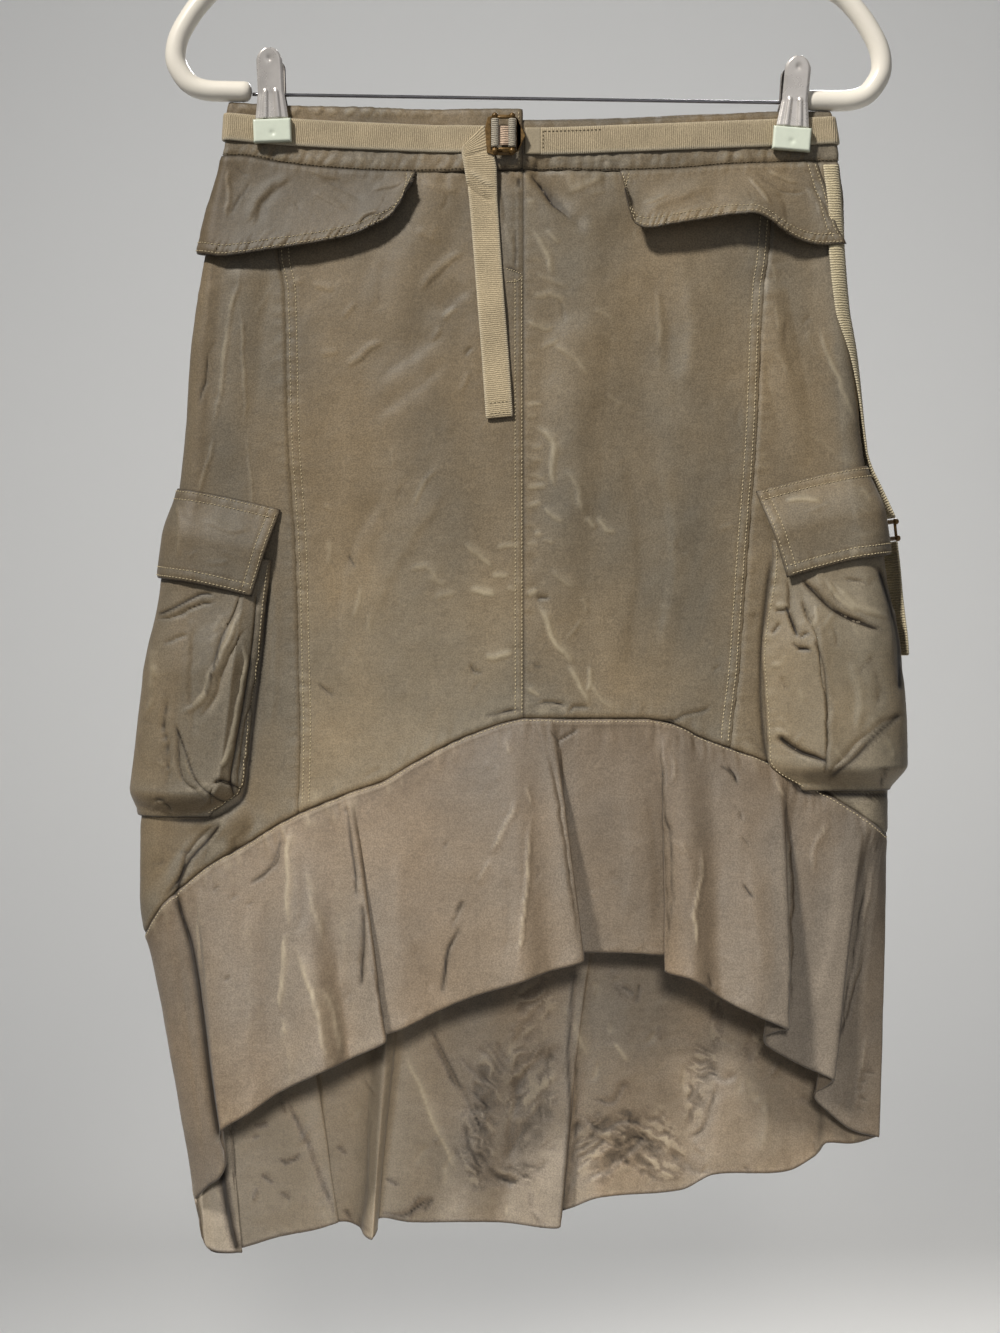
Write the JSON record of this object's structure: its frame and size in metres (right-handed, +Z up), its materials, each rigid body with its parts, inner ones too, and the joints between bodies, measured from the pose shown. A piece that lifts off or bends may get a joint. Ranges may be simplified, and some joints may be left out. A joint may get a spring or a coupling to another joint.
{
  "type": "cargo skirt on a clip hanger",
  "caption": "High-low cargo skirt with panelled body, hip flaps, bellows pockets, a webbing belt with a ladder buckle and a flared flounce, clipped by its waist to a hanger.",
  "frame": {"origin": "inside top of the hanger's hook, where a rail carries it", "axes": "+Z up, -Y towards the viewer of the skirt's front, +X to that viewer's right"},
  "size_m": [0.484, 0.0998, 0.9557],
  "materials": {
    "shell_cloth": "crinkled nylon and cotton with a two-tone sheen",
    "flounce_cloth": "crinkled nylon and cotton with a two-tone sheen",
    "belt_webbing": "ribbed cotton webbing",
    "strap_webbing": "ribbed cotton webbing",
    "antique_brass": "dark antique",
    "hanger_plastic": "satin ivory",
    "clip_steel": "bright",
    "clip_pad": "milky translucent"
  },
  "bodies": {
    "root": {"belt_back": "belt_webbing", "belt_front_left": "belt_webbing", "belt_front_right": "belt_webbing", "belt_tab": "shell_cloth", "belt_tail": "belt_webbing", "buckle_frame": "antique_brass", "buckle_plate": "antique_brass", "buckle_webbing": "belt_webbing", "cargo_bag_left": "shell_cloth", "cargo_bag_right": "shell_cloth", "cargo_flap_left": "shell_cloth", "cargo_flap_right": "shell_cloth", "clip_left_jaw_back": "clip_steel", "clip_left_jaw_front": "clip_steel", "clip_left_pad_back": "clip_pad", "clip_left_pad_front": "clip_pad", "clip_left_spring": "clip_steel", "clip_right_jaw_back": "clip_steel", "clip_right_jaw_front": "clip_steel", "clip_right_pad_back": "clip_pad", "clip_right_pad_front": "clip_pad", "clip_right_spring": "clip_steel", "flounce_back": "flounce_cloth", "flounce_front": "flounce_cloth", "hanger_bar": "clip_steel", "hanger_body": "hanger_plastic", "hanger_hook": "clip_steel", "hip_flap_left": "shell_cloth", "hip_flap_right": "shell_cloth", "panel_back_left": "shell_cloth", "panel_back_right": "shell_cloth", "panel_front_left": "shell_cloth", "panel_front_right": "shell_cloth", "panel_side_left": "shell_cloth", "panel_side_right": "shell_cloth", "side_slider_left": "antique_brass", "side_slider_right": "antique_brass", "side_strap_left": "strap_webbing", "side_strap_right": "strap_webbing", "side_strap_tail_left": "strap_webbing", "side_strap_tail_right": "strap_webbing", "waistband_back": "shell_cloth", "waistband_front_left": "shell_cloth", "waistband_front_right": "shell_cloth"}
  },
  "joints": []
}
